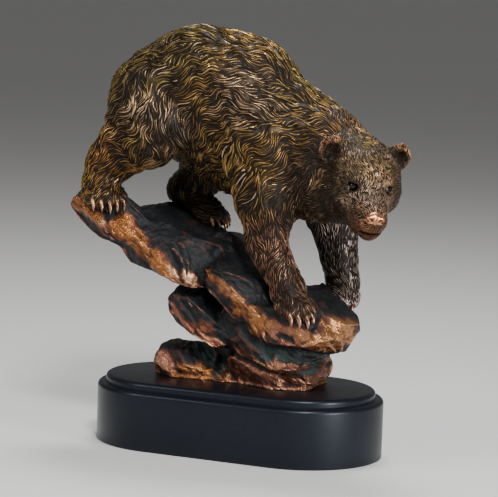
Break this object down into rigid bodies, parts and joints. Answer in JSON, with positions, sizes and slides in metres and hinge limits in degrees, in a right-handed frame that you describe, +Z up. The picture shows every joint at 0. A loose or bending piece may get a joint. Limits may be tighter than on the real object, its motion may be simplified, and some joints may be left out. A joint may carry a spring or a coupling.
{
  "type": "bear sculpture",
  "caption": "Cast figure of a bear walking down a slanted ledge of rock, on a black moulded oblong plinth.",
  "frame": {"origin": "middle of the plinth's underside", "axes": "+Z up, +X along the plinth's length the way the bear walks, -Y toward the side the bear turns its head to"},
  "size_m": [0.2482, 0.1287, 0.2972],
  "materials": {
    "bronze_patina": "cold-cast resin with a dark bronze patina, copper and gold rubbed through on the fur, the claws and the edges of the rock",
    "black_lacquer": "black satin lacquer over moulded wood or resin"
  },
  "bodies": {
    "root": {"bear_on_rock": "bronze_patina", "plinth": "black_lacquer"}
  },
  "joints": []
}
